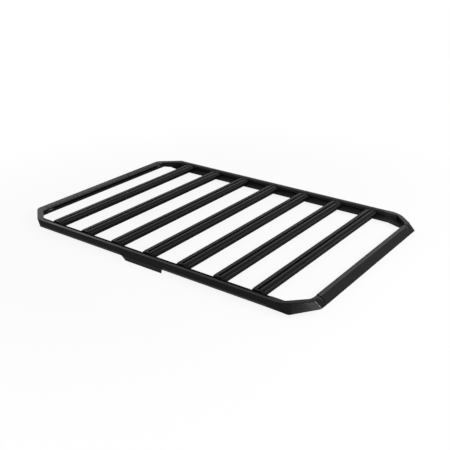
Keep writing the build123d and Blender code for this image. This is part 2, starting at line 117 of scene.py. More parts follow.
class Graph:
    """Node tree of one material or world, built step by step.

    A mix node's colour sockets go by number, because the sockets of each data type have the same names.
    """

    MIX_SHARE = 0
    MIX_LOW = 6
    MIX_HIGH = 7
    MIX_RESULT = 2

    def __init__(self, tree: bpy.types.NodeTree) -> None:
        """Empties a tree and keeps it."""
        self.tree = tree
        tree.nodes.clear()

    def add(self, kind: str, inputs: dict[str, object] | None = None, **settings: object) -> bpy.types.Node:
        """Adds a node.

        Args:
            kind: Node type.
            inputs: Sockets or constants for its inputs, by name.
            settings: Properties of the node, such as an operation.

        Returns:
            The new node.
        """
        node = self.tree.nodes.new(kind)
        for name, value in settings.items():
            setattr(node, name, value)
        for name, value in (inputs or {}).items():
            self.put(value, node.inputs[name])
        return node

    def put(self, value: object, socket: Socket) -> None:
        """Links a socket to an input, or writes a constant there.

        Args:
            value: Output socket, number or colour.
            socket: Input that takes it.
        """
        if isinstance(value, Socket):
            self.tree.links.new(value, socket)
        else:
            socket.default_value = value

    def math(self, operation: str, *values: Socket | float) -> Socket:
        """Works out a number.

        Args:
            operation: Name of the operation.
            values: Sockets or numbers it takes.

        Returns:
            Socket with the result.
        """
        node = self.add("ShaderNodeMath", operation=operation)
        for value, socket in zip(values, node.inputs):
            self.put(value, socket)
        return node.outputs[0]

    def noise(self, place: Socket, kind: Noise) -> Socket:
        """Returns a noise from 0 to 1 at coordinates in metres."""
        inputs = {"Vector": place, "Scale": kind.scale, "Detail": kind.detail}
        return self.add("ShaderNodeTexNoise", inputs).outputs["Fac"]

    def stretch(self, place: Socket, scale: Point) -> Socket:
        """Returns coordinates divided by a scale along each axis, so that a pattern is drawn out there."""
        inputs = {"Vector": place, "Scale": scale}
        return self.add("ShaderNodeMapping", inputs, vector_type="TEXTURE").outputs[0]

    def remap(self, value: Socket, source: Span, target: Span = NONE_TO_ALL) -> Socket:
        """Carries a number from one range to another, clamped at both ends.

        Args:
            value: Socket with the number.
            source: Two numbers read.
            target: Numbers given for them.

        Returns:
            Socket with the result.
        """
        node = self.add("ShaderNodeMapRange")
        for item, socket in zip((value, *source, *target), node.inputs):
            self.put(item, socket)
        return node.outputs[0]

    def mix(self, share: Socket, low: Socket | Colour, high: Socket | Colour) -> Socket:
        """Blends two colours.

        Args:
            share: Socket that gives the second colour's share.
            low: First colour, or a socket with it.
            high: Second colour, or a socket with it.

        Returns:
            Socket with the blend.
        """
        node = self.add("ShaderNodeMix", data_type="RGBA")
        self.put(share, node.inputs[self.MIX_SHARE])
        for colour, number in ((low, self.MIX_LOW), (high, self.MIX_HIGH)):
            self.put((*colour, 1.0) if isinstance(colour, tuple) else colour, node.inputs[number])
        return node.outputs[self.MIX_RESULT]

    def axes(self, vector: Socket) -> bpy.types.NodeOutputs:
        """Returns a vector's numbers by the names X, Y and Z."""
        return self.add("ShaderNodeSeparateXYZ", {"Vector": vector}).outputs

    def facing(self) -> Socket:
        """Returns the way in which the surface looks."""
        return self.add("ShaderNodeNewGeometry").outputs["Normal"]

    def below(self, value: Socket, limit: float, fade: float) -> Socket:
        """Returns 1 where a number is under a limit by a fade or more, which runs out to 0 at the limit."""
        return self.remap(value, (limit, limit - fade))

    def between(self, value: Socket, span: Span, fade: float) -> Socket:
        """Returns 1 where a number lies between two limits, which runs out to 0 over a fade at both."""
        away = self.math("ABSOLUTE", self.math("SUBTRACT", value, (span[0] + span[1]) / 2))
        return self.below(away, (span[1] - span[0]) / 2, fade)

    def product(self, *shares: Socket) -> Socket:
        """Returns shares multiplied together."""
        return reduce(lambda first, second: self.math("MULTIPLY", first, second), shares)

    def rest(self, share: Socket) -> Socket:
        """Returns what a share leaves."""
        return self.math("SUBTRACT", 1.0, share)

    def bump(self, height: Socket, strength: float, rise: float, normal: Socket | None = None) -> Socket:
        """Normal of a surface that a pattern raises.

        Args:
            height: Pattern from 0 to 1.
            strength: Share of its effect.
            rise: Height in metres that 1 stands for.
            normal: Normal to start from, where it isn't the surface's own.

        Returns:
            Socket with the normal.
        """
        node = self.add("ShaderNodeBump", {"Height": height, "Strength": strength, "Distance": rise})
        if normal is not None:
            self.put(normal, node.inputs["Normal"])
        return node.outputs[0]


@dataclass(frozen=True, kw_only=True)
class Zone:
    """Part of a coat that differs from the rest.

    Attributes:
        colour: Its colour.
        dull: Roughness that it adds.
        fade: Width over which it runs out.
    """

    colour: Colour
    dull: float = 0.0
    fade: float = 0.4 * MM

    def share(self, graph: Graph, place: Socket) -> Socket:
        """Share of the zone at each point, which every kind of zone works out in its own way.

        Args:
            graph: Node tree to fill.
            place: Coordinates in metres.

        Returns:
            Socket with the share.
        """
        raise NotImplementedError


@dataclass(frozen=True, kw_only=True)
class WallBand(Zone):
    """Band along the walls of both sides, or along the plate that hangs there: painted reflection or painted
    light on the rails, and the plate's lighter face below its painted shadow.

    Attributes:
        top: Height at which it starts.
        full: Height from which it is whole.
        outer: Distance of the walls from the middle line.
        inward: Whether it lies inside that distance, where it otherwise lies outside.
        gap: Limits along the rail between which there is none, because a plate covers the wall.
        wall_fade: Width over which it runs out beside the walls.
    """

    top: float
    full: float
    outer: float
    inward: bool = False
    gap: Span | None = None
    fade: float = 2.0 * MM
    wall_fade: float = 1.0 * MM

    def share(self, graph: Graph, place: Socket) -> Socket:
        """Share of the band: on its side of the walls, more and more from its top down, and none in its gap.

        Args:
            graph: Node tree to fill.
            place: Coordinates in metres.

        Returns:
            Socket with the share.
        """
        axes = graph.axes(place)
        inside = graph.below(graph.math("ABSOLUTE", axes["Y"]), self.outer, self.wall_fade)
        wall = inside if self.inward else graph.rest(inside)
        band = graph.product(wall, graph.below(axes["Z"], self.top, self.top - self.full))
        if self.gap is None:
            return band
        return graph.product(band, graph.rest(graph.between(axes["X"], self.gap, self.fade)))


@dataclass(frozen=True, kw_only=True)
class BarStrip(Zone):
    """Strip of painted shade or painted highlight along every cross bar.

    Attributes:
        shift: Distance of its middle ahead of the slot's.
        half: Half its width.
        lip: Height below which it lies.
        first: Place of the rearmost bar's slot.
        pitch: Distance between neighbouring bars.
    """

    shift: float = 0.0
    half: float
    lip: float = 70.0 * MM
    first: float = -709.4 * MM
    pitch: float = 227.5 * MM

    def share(self, graph: Graph, place: Socket) -> Socket:
        """Share of the strip: within half its width of its middle in the nearest bar, and under the lip.

        Args:
            graph: Node tree to fill.
            place: Coordinates in metres.

        Returns:
            Socket with the share.
        """
        axes = graph.axes(place)
        ahead = graph.math("SUBTRACT", axes["X"], self.first + self.shift)
        bars = graph.math("ADD", graph.math("DIVIDE", ahead, self.pitch), 0.5)
        across = graph.math("SUBTRACT", graph.math("FRACT", bars), 0.5)
        away = graph.math("MULTIPLY", graph.math("ABSOLUTE", across), self.pitch)
        within = graph.below(away, self.half + self.fade, self.fade)
        return graph.product(within, graph.below(axes["Z"], self.lip, self.fade))


@dataclass(frozen=True, kw_only=True)
class RearStrip(Zone):
    """Strip of painted shade along the rear rail.

    Attributes:
        depth: Its limits along the vehicle.
        height: Its lowest and highest point.
    """

    # Near black: the painted shade.
    colour: Colour = (0.0035, 0.0035, 0.0035)
    depth: Span
    height: Span

    def share(self, graph: Graph, place: Socket) -> Socket:
        """Share of the strip: between its limits along the vehicle, and between its heights.

        Args:
            graph: Node tree to fill.
            place: Coordinates in metres.

        Returns:
            Socket with the share.
        """
        axes = graph.axes(place)
        within = graph.between(axes["X"], self.depth, self.fade)
        return graph.product(within, graph.between(axes["Z"], self.height, self.fade))


@dataclass(frozen=True, kw_only=True)
class CornerInsidePaintedLight(Zone):
    """Painted light on the inner walls of the front corners, which are lighter and rougher there.

    Attributes:
        reach: Sum of X and the distance from the middle line that they stay under, along the chamfer.
        outer: Distance from the middle line that they stay under, beside the side rail.
        top: Height that they stay under.
    """

    colour: Colour = (0.026, 0.026, 0.026)
    dull: float = 0.08
    fade: float = 1.0 * MM
    reach: float = 1420.0 * MM
    outer: float = 630.0 * MM
    top: float = 62.0 * MM

    def share(self, graph: Graph, place: Socket) -> Socket:
        """Share of the inner walls: under all three limits.

        Args:
            graph: Node tree to fill.
            place: Coordinates in metres.

        Returns:
            Socket with the share.
        """
        axes = graph.axes(place)
        beside = graph.math("ABSOLUTE", axes["Y"])
        along = graph.math("ADD", axes["X"], beside)
        limits = ((along, self.reach), (beside, self.outer), (axes["Z"], self.top))
        return graph.product(*(graph.below(value, limit, self.fade) for value, limit in limits))


@dataclass(frozen=True, kw_only=True)
class Finish:
    """Finish of some of the pieces, as a node material on object coordinates.

    Attributes:
        name: Name of the material.
        colour: Its middle colour.
        roughness: Its middle roughness.
        shades: Its darkest and lightest colour, as shares of the middle one.
        mottle: How far its roughness strays either way.
    """

    name: str
    colour: Colour
    roughness: float
    shades: Span
    mottle: float

    def material(self) -> bpy.types.Material:
        """Makes the material.

        Returns:
            A node material with one principled shader.
        """
        made = bpy.data.materials.new(self.name)
        made.use_nodes = True
        graph = Graph(made.node_tree)
        place = graph.add("ShaderNodeTexCoord").outputs["Object"]
        shader = graph.add("ShaderNodeBsdfPrincipled", self.inputs(graph, place))
        graph.add("ShaderNodeOutputMaterial", {"Surface": shader.outputs[0]})
        return made

    def inputs(self, graph: Graph, place: Socket) -> dict[str, object]:
        """Inputs of the shader, which every kind of finish works out in its own way.

        Args:
            graph: Node tree to fill.
            place: Coordinates in metres.

        Returns:
            Sockets or constants by the names of the inputs.
        """
        raise NotImplementedError

    def shaded(self, graph: Graph, share: Socket) -> Socket:
        """Returns the colour, from its darkest to its lightest."""
        low, high = (tuple(level * part for part in self.colour) for level in self.shades)
        return graph.mix(share, low, high)


@dataclass(frozen=True, kw_only=True)
class CoatPattern:
    """Patterns that a coat's colour and roughness follow.

    Attributes:
        patches: Slow noise.
        streaks: Noise drawn out along the piece.
        edges: Share of rubbed coat.
        level: 1 on level faces, and 0 on leaning and upright ones.
    """

    patches: Socket
    streaks: Socket
    edges: Socket
    level: Socket


@dataclass(frozen=True, kw_only=True)
class PowderCoat(Finish):
    """Matt black powder coat: fine grain, soft mottling, dust and painted sheen on the tops, and rubbed
    edges.

    Attributes:
        run: How far streaks are drawn out along each axis.
        zones: Parts that differ, each laid over those before it.
        polish: Roughness taken off level faces, or added where it is negative.
        level: Upward share of a face's normal where it starts to count as level, and where it does wholly.
        rubbed: Colour of rubbed edges.
        edge: Width of an edge.
        edge_turn: Agreement of the rounded normal with the face's own, from none to wholly rubbed.
        edge_gloss: Roughness taken off rubbed edges.
        wear_share: Least and greatest share of wear along an edge.
        dust_and_sheen: Colour of the dust on level faces; where it is set light, it is painted sheen as
            well.
        dust_and_sheen_share: Least and greatest share of that colour on level faces.
    """

    ior: float = 1.15
    run: Point = (1.0, 1.0, 1.0)
    zones: tuple[Zone, ...] = ()
    shades: Span = (0.86, 1.16)
    mottle: float = 0.035
    least_rough: float = 0.02
    polish: float = 0.0
    level: Span = (0.85, 0.98)
    patch: Noise = Noise(scale=7.0, detail=4.0)
    patch_read: Span = (0.2, 0.8)
    streak: Noise = Noise(scale=60.0, detail=3.0)
    rubbed: Colour = (0.026, 0.026, 0.027)
    edge: float = 1.2 * MM
    edge_samples: int = 4
    edge_turn: Span = (0.98, 0.80)
    edge_gloss: float = 0.12
    wear: Noise = Noise(scale=90.0, detail=4.0)
    wear_read: Span = (0.45, 0.70)
    wear_share: Span = (0.15, 0.8)
    dust_and_sheen: Colour = (0.020, 0.020, 0.020)
    dust_and_sheen_read: Span = (0.45, 0.75)
    dust_and_sheen_share: Span = (0.0, 0.25)
    grain: Noise = Noise(scale=1500.0, detail=3.0)
    grain_height: float = 0.05 * MM
    grain_strength: float = 0.35

    def inputs(self, graph: Graph, place: Socket) -> dict[str, object]:
        """Inputs of the shader: the coat's own colour and roughness, with its zones over them.

        Args:
            graph: Node tree to fill.
            place: Coordinates in metres.

        Returns:
            Sockets or constants by the names of the inputs.
        """
        bevel = graph.add("ShaderNodeBevel", {"Radius": self.edge}, samples=self.edge_samples)
        rounded = bevel.outputs[0]
        pattern = CoatPattern(
            patches=graph.noise(place, self.patch),
            streaks=graph.noise(graph.stretch(place, self.run), self.streak),
            edges=self.edge_share(graph, place, rounded),
            level=graph.remap(graph.axes(graph.facing())["Z"], self.level),
        )
        body = self.colour_of(graph, pattern)
        rough = self.roughness_of(graph, pattern)
        for zone in self.zones:
            share = zone.share(graph, place)
            body = graph.mix(share, body, zone.colour)
            rough = graph.math("ADD", rough, graph.math("MULTIPLY", share, zone.dull))
        grain = graph.noise(place, self.grain)
        return {
            "Base Color": body,
            "Roughness": graph.math("MAXIMUM", rough, self.least_rough),
            "IOR": self.ior,
            "Normal": graph.bump(grain, self.grain_strength, self.grain_height, rounded),
        }

    def edge_share(self, graph: Graph, place: Socket, rounded: Socket) -> Socket:
        """Share of rubbed coat: broken patches near an edge, where the rounded normal leaves the face's own.

        Args:
            graph: Node tree to fill.
            place: Coordinates in metres.
            rounded: Normal of the surface with its sharp edges rounded.

        Returns:
            Socket with the share.
        """
        dot = graph.add("ShaderNodeVectorMath", operation="DOT_PRODUCT")
        graph.put(rounded, dot.inputs[0])
        graph.put(graph.facing(), dot.inputs[1])
        near = graph.remap(dot.outputs["Value"], self.edge_turn)
        broken = graph.remap(graph.noise(place, self.wear), self.wear_read, self.wear_share)
        return graph.product(near, broken)

    def colour_of(self, graph: Graph, pattern: CoatPattern) -> Socket:
        """Colour: soft patches, dust and painted sheen that lie in streaks on level faces, and rubbed edges.

        Args:
            graph: Node tree to fill.
            pattern: Patterns of the coat.

        Returns:
            Socket with the colour.
        """
        body = self.shaded(graph, graph.remap(pattern.patches, NOISE_CORE))
        dust_and_sheen_spread = graph.remap(pattern.streaks, self.dust_and_sheen_read, self.dust_and_sheen_share)
        with_dust_and_sheen = graph.mix(graph.product(pattern.level, dust_and_sheen_spread), body, self.dust_and_sheen)
        return graph.mix(pattern.edges, with_dust_and_sheen, self.rubbed)

    def roughness_of(self, graph: Graph, pattern: CoatPattern) -> Socket:
        """Roughness: the coat's own, varied by patches and streaks, polished on level faces and edges.

        Args:
            graph: Node tree to fill.
            pattern: Patterns of the coat.

        Returns:
            Socket with the roughness.
        """
        spread = (-self.mottle, self.mottle)
        varied = graph.math("ADD", graph.remap(pattern.patches, self.patch_read, spread), self.roughness)
        streaked = graph.math("ADD", varied, graph.remap(pattern.streaks, NOISE_CORE, spread))
        smoothed = graph.math("SUBTRACT", streaked, graph.math("MULTIPLY", pattern.level, self.polish))
        return graph.math("SUBTRACT", smoothed, graph.math("MULTIPLY", pattern.edges, self.edge_gloss))


@dataclass(frozen=True, kw_only=True)
class Clouded(Finish):
    """Finish with soft clouds in its colour and roughness, and a fine grain in its surface."""

    cloud: Noise
    grain: Noise
    grain_height: float
    grain_strength: float

    def inputs(self, graph: Graph, place: Socket) -> dict[str, object]:
        """Inputs of the shader: clouds in the colour and roughness, and the grain as a bump.

        Args:
            graph: Node tree to fill.
            place: Coordinates in metres.

        Returns:
            Sockets or constants by the names of the inputs.
        """
        clouds = graph.noise(place, self.cloud)
        spread = (self.roughness - self.mottle, self.roughness + self.mottle)
        grain = graph.noise(place, self.grain)
        return {
            "Base Color": self.shaded(graph, clouds),
            "Roughness": graph.remap(clouds, NOISE_CORE, spread),
            "Normal": graph.bump(grain, self.grain_strength, self.grain_height),
        }


@dataclass(frozen=True, kw_only=True)
class Moulded(Clouded):
    """Black moulded plastic or rubber: faint flow marks and a fine spark texture."""

    ior: float
    shades: Span = (0.8, 1.25)
    mottle: float = 0.06
    cloud: Noise = Noise(scale=45.0, detail=5.0)
    grain: Noise = Noise(scale=2200.0, detail=2.0)
    grain_height: float = 0.04 * MM
    grain_strength: float = 0.4

    def inputs(self, graph: Graph, place: Socket) -> dict[str, object]:
        """Returns the clouded finish's inputs, with the plastic's own gloss."""
        return super().inputs(graph, place) | {"IOR": self.ior}


@dataclass(frozen=True, kw_only=True)
class PlatedMetal(Clouded):
    """Bare or plated metal: cloudy plating and fine marks."""

    shades: Span = (0.75, 1.0)
    mottle: float = 0.08
    cloud: Noise = Noise(scale=240.0, detail=4.0)
    grain: Noise = Noise(scale=3000.0, detail=2.0)
    grain_height: float = 0.02 * MM
    grain_strength: float = 0.2

    def inputs(self, graph: Graph, place: Socket) -> dict[str, object]:
        """Returns the clouded finish's inputs, as a metal's."""
        return super().inputs(graph, place) | {"Metallic": 1.0}


RAIL_RUN: Point = (12.0, 1.0, 1.0)
BAR_RUN: Point = (1.0, 12.0, 1.0)

# Painted reflection: the side rails' outer faces are lighter from 36 mm down to their foot, except where the
# side plate hangs.
SKIRT_PAINTED_REFLECTION = WallBand(
    colour=(0.070, 0.070, 0.071),
    top=36.0 * MM,
    full=20.0 * MM,
    outer=642.0 * MM,
    gap=(-181.0 * MM, 110.0 * MM),
)
# Painted light on the side rails' inner walls and shelf, below 62 mm.
INNER_WALL_PAINTED_LIGHT = WallBand(
    colour=(0.017, 0.017, 0.017), top=62.0 * MM, full=61.0 * MM, outer=612.5 * MM, inward=True
)
# The plate's coat is near black at its top as a painted shadow under the rail's foot; this band makes it
# lighter from 28 mm down.
PLATE_FACE = WallBand(colour=(0.021, 0.021, 0.0212), top=28.0 * MM, full=22.0 * MM, outer=500.0 * MM)

# Painted shade: near black inside the bars' slots, below their top.
SLOT_INSIDE_PAINTED_SHADE = BarStrip(colour=(0.0012, 0.0012, 0.0012), dull=-0.38, half=11.0 * MM, lip=62.4 * MM)
# Painted shade on the rear lip wall of each bar's slot.
SLOT_LIP_PAINTED_SHADE = BarStrip(colour=(0.0012, 0.0012, 0.0012), dull=0.5, shift=-7.2 * MM, half=2.4 * MM)
# Painted highlight on the bars' tops just ahead of the slot.
SLOT_EDGE_PAINTED_HIGHLIGHT = BarStrip(colour=(0.022, 0.022, 0.022), shift=9.5 * MM, half=3.0 * MM, fade=4.0 * MM)
# Painted shade on the forward slope of the bars' tops.
BAR_SLOPE_PAINTED_SHADE = BarStrip(
    colour=(0.0034, 0.0034, 0.0035), dull=0.14, shift=22.0 * MM, half=4.5 * MM, fade=3.0 * MM
)
# Painted highlight along the round of each bar's front edge.
BAR_NOSE_PAINTED_HIGHLIGHT = BarStrip(colour=(0.019, 0.019, 0.019), shift=30.7 * MM, half=1.9 * MM, lip=57.5 * MM)
# Painted shade on the bars' front faces.
BAR_FRONT_PAINTED_SHADE = BarStrip(
    colour=(0.0030, 0.0030, 0.0031), dull=0.15, shift=31.5 * MM, half=1.5 * MM, lip=51.0 * MM
)

REAR_TOP_HEIGHT: Span = (61.5 * MM, 64.5 * MM)
# Painted shade on the rear rail: near black in its slot and at the slot's mouth, and strips on the top
# beside and over the slot.
REAR_SLOT_PAINTED_SHADE = RearStrip(depth=(-915.0 * MM, -897.2 * MM), height=(40.0 * MM, 60.0 * MM), dull=-0.36)
REAR_SLOT_MOUTH_PAINTED_SHADE = RearStrip(depth=(-897.6 * MM, -895.0 * MM), height=(47.0 * MM, 59.0 * MM), dull=0.4)
REAR_MIDDLE_PAINTED_SHADE = RearStrip(depth=(-930.0 * MM, -915.0 * MM), height=REAR_TOP_HEIGHT, dull=0.02)
REAR_LIP_PAINTED_SHADE = RearStrip(depth=(-915.4 * MM, -896.0 * MM), height=REAR_TOP_HEIGHT, dull=0.12)

RAIL_COAT = PowderCoat(
    name="rail_coat",
    colour=(0.0066, 0.0066, 0.0068),
    roughness=0.48,
    run=RAIL_RUN,
    zones=(SKIRT_PAINTED_REFLECTION, INNER_WALL_PAINTED_LIGHT),
    polish=0.13,
)
# Its light dust colour covers most level faces: painted sheen on the front rail's tops, with some dust.
FRONT_COAT = PowderCoat(
    name="front_coat",
    colour=(0.0052, 0.0052, 0.0054),
    roughness=0.50,
    run=BAR_RUN,
    polish=0.16,
    dust_and_sheen=(0.055, 0.055, 0.055),
    dust_and_sheen_share=(0.6, 1.0),
)
REAR_COAT = PowderCoat(
    name="rear_coat",
    colour=(0.0066, 0.0066, 0.0068),
    roughness=0.46,
    run=BAR_RUN,
    zones=(REAR_SLOT_PAINTED_SHADE, REAR_SLOT_MOUTH_PAINTED_SHADE, REAR_MIDDLE_PAINTED_SHADE, REAR_LIP_PAINTED_SHADE),
    polish=0.12,
)
# Its dust colour is lighter than the default: partly dust, partly painted sheen on the bars' tops.
BAR_COAT = PowderCoat(
    name="bar_coat",
    colour=(0.0046, 0.0046, 0.0047),
    roughness=0.50,
    ior=1.13,
    run=BAR_RUN,
    zones=(SLOT_INSIDE_PAINTED_SHADE, SLOT_LIP_PAINTED_SHADE, SLOT_EDGE_PAINTED_HIGHLIGHT, BAR_SLOPE_PAINTED_SHADE, BAR_NOSE_PAINTED_HIGHLIGHT, BAR_FRONT_PAINTED_SHADE),
    polish=0.16,
    dust_and_sheen=(0.036, 0.036, 0.036),
    dust_and_sheen_share=(0.10, 0.45),
)
CORNER_COAT = PowderCoat(name="corner_coat", colour=(0.0070, 0.0070, 0.0072), roughness=0.30, polish=-0.14)
NOSE_COAT = PowderCoat(
    name="nose_coat",
    colour=(0.0070, 0.0070, 0.0072),
    roughness=0.14,
    zones=(CornerInsidePaintedLight(),),
    polish=-0.20,
    mottle=0.01,
    grain_height=0.008 * MM,
)
# Near black: painted shadow at the top of the plate, under the rail's foot.
PLATE_COAT = PowderCoat(
    name="plate_coat", colour=(0.0016, 0.0016, 0.0016), roughness=0.44, run=RAIL_RUN, zones=(PLATE_FACE,)
)
BRACKET_PLASTIC = Moulded(name="bracket_plastic", colour=(0.0070, 0.0070, 0.0072), roughness=0.48, ior=1.14)
SPLICE_METAL = PlatedMetal(name="splice_metal", colour=(0.030, 0.030, 0.032), roughness=0.42)
ZINC = PlatedMetal(name="screw_zinc", colour=(0.34, 0.34, 0.35), roughness=0.36)
BLACK_OXIDE = PlatedMetal(name="screw_black_oxide", colour=(0.045, 0.045, 0.047), roughness=0.40)
RUBBER_GRAIN = Noise(scale=1400.0, detail=2.0)
# One rubber on both rails: near black on the right as painted shade, light on the left as painted light.
INLAY_FINISHES: dict[Side, Finish] = {
    Side.RIGHT: Moulded(
        name="inlay_rubber_painted_shade", colour=(0.0036, 0.0036, 0.0037), roughness=0.65, ior=1.05, grain=RUBBER_GRAIN
    ),
    Side.LEFT: Moulded(
        name="inlay_rubber_painted_light", colour=(0.030, 0.030, 0.030), roughness=0.42, ior=1.14, grain=RUBBER_GRAIN
    ),
}
SLOT_FINISHES: dict[str, Finish] = {
    finish.name: finish
    for finish in (RAIL_COAT, BAR_COAT, CORNER_COAT, PLATE_COAT, BRACKET_PLASTIC, SPLICE_METAL)
}
NODE_FINISHES: dict[str, Finish] = {
    "front_rail": FRONT_COAT,
    "rear_rail": REAR_COAT,
    "front_corner_right": NOSE_COAT,
    "front_corner_left": NOSE_COAT,
}


def ring_quads(rings: int, steps: int) -> np.ndarray:
    """Faces of a grid whose rings each close on themselves.

    Args:
        rings: Number of rings.
        steps: Number of points in each ring.

    Returns:
        Point numbers of each face, from a step of one ring to the same step of the next.
    """
    ring, step = np.meshgrid(np.arange(rings - 1), np.arange(steps), indexing="ij")
    near = ring * steps + step
    beside = ring * steps + (step + 1) % steps
    return np.stack((near, beside, beside + steps, near + steps), axis=-1).reshape(-1, 4)


def mesh_piece(name: str, points: np.ndarray, quads: np.ndarray, merge: bool = False) -> bpy.types.Object:
    """Makes a smooth mesh object at the origin.

    Args:
        name: Name of the piece.
        points: Corners, one row each, in metres.
        quads: Corner numbers of each face.
        merge: Whether corners at one place are joined and the faces turned outwards.

    Returns:
        The object, linked to the scene.
    """
    mesh = bpy.data.meshes.new(name)
    mesh.from_pydata(points.tolist(), [], quads.tolist())
    if merge:
        shell = bmesh.new()
        shell.from_mesh(mesh)
        bmesh.ops.remove_doubles(shell, verts=shell.verts, dist=JOIN_DISTANCE)
        bmesh.ops.recalc_face_normals(shell, faces=shell.faces)
        shell.to_mesh(mesh)
        shell.free()
    mesh.validate()
    mesh.shade_smooth()
    mesh.set_sharp_from_angle(angle=SHARP_ANGLE)
    piece = bpy.data.objects.new(name, mesh)
    bpy.context.scene.collection.objects.link(piece)
    return piece


@dataclass
class Rack:
    """The rack: dresses its solids and takes on new pieces, and makes each finish once."""

    made: dict[str, bpy.types.Material] = field(default_factory=dict)

    def material(self, finish: Finish) -> bpy.types.Material:
        """Makes a finish's material, or finds it if it is made already.

        Args:
            finish: The finish.

        Returns:
            Its material.
        """
        if finish.name not in self.made:
            self.made[finish.name] = finish.material()
        return self.made[finish.name]

    def dress(self) -> None:
        """Gives every solid its own finish, or else that of the slot which the record names."""
        for part in frame["record"]["subparts"]:
            node = part["node"]
            finish = NODE_FINISHES.get(node, SLOT_FINISHES[part["material_slot"]])
            for slot in frame["nodes"][node].material_slots:
                slot.material = self.material(finish)
            LOG.info("dressed %s with %s", node, finish.name)

    def add(self, piece: bpy.types.Object, finish: Finish, slot: str) -> None:
        """Fixes a new piece to the rack.

        Args:
            piece: The piece.
            finish: Its finish.
            slot: Material slot it belongs to; not used.
        """
        piece.data.materials.append(self.material(finish))
        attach(piece, BODY)
        LOG.info("added %s: %d faces", piece.name, len(piece.data.polygons))


@dataclass(frozen=True, kw_only=True)
class Screw:
    """Head of a screw, or a nut, as rings about its axis.

    Attributes:
        radius: Outer radius.
        height: Height above its seat.
        socket: Radius of the socket's hexagon.
        depth: Depth of the socket.
        dome: Share of the height that the top's round takes up.
        hexagon: Whether the outside is a hexagon too.
        rim: Radius of the socket's rim, as a share of the socket's.
        lead: Share of the socket's depth that its rim leads in.
        dome_rings: Number of rings over the top.
        steps: Number of points in each ring.
    """

    radius: float
    height: float
    socket: float
    depth: float
    dome: float = 0.45
    hexagon: bool = False
    rim: float = 1.16
    lead: float = 0.1
    dome_rings: int = 6
    steps: int = 24

    def outline(self) -> tuple[np.ndarray, np.ndarray, np.ndarray]:
        """Rings of the head from the middle of its seat out, up, over the top and down into the socket.

        The side rises, the top is a quarter ellipse drawn in to the socket's round rim, then the rim leads
        in to the socket's wall, which drops to its floor and closes in the middle.

        Returns:
            Radius, height and share of hexagon of each ring.
        """
        turn = np.linspace(0.0, math.pi / 2, self.dome_rings)
        rim = self.socket * self.rim
        side = self.height * (1.0 - self.dome)
        over_r = rim + (self.radius - rim) * np.cos(turn)
        over_z = side + (self.height - side) * np.sin(turn)
        wall, floor = self.height - self.lead * self.depth, self.height - self.depth
        radius = np.concatenate(([0.0, self.radius], over_r, [self.socket, self.socket, 0.0]))
        height = np.concatenate(([0.0, 0.0], over_z, [wall, floor, floor]))
        outside = np.full(self.dome_rings + 1, float(self.hexagon))
        share = np.concatenate((outside, [0.0, 1.0, 1.0, 1.0]))
        return radius, height, share

    def surface(self) -> Surface:
        """Grid of the head, ring by angle.

        A hexagon's radius goes by one over the cosine of the angle from the middle of the nearest flat,
        scaled to a mean of one. Each ring has its own radius, times that by its share of hexagon.

        Returns:
            Points with the axis on +Z, and the quads between them.
        """
        radius, height, share = self.outline()
        angle = np.arange(self.steps) * (2.0 * math.pi / self.steps)
        from_flat = np.mod(angle + math.pi / 6, math.pi / 3) - math.pi / 6
        hexagon = 1.0 / np.cos(from_flat)
        spread = radius[:, None] * (1.0 + share[:, None] * (hexagon[None, :] / hexagon.mean() - 1.0))
        level = np.broadcast_to(height[:, None], spread.shape)
        points = np.stack((spread * np.cos(angle), spread * np.sin(angle), level), axis=-1)
        return points.reshape(-1, 3), ring_quads(radius.size, self.steps)

    def many(self, name: str, places: Iterable[Point], facings: Iterable[Facing]) -> bpy.types.Object:
        """Builds one piece that holds a head at each place.

        Args:
            name: Name of the piece.
            places: Points where the heads sit.
            facings: Direction of each head.

        Returns:
            The piece.
        """
        points, quads = self.surface()
        turns = np.stack([facing.rotation() for facing in facings])
        seats = np.array(list(places), float)
        spots = np.einsum("nij,pj->npi", turns, points) + seats[:, None, :]
        faces = quads[None] + (np.arange(len(seats)) * len(points))[:, None, None]
        return mesh_piece(name, spots.reshape(-1, 3), faces.reshape(-1, 4), merge=True)


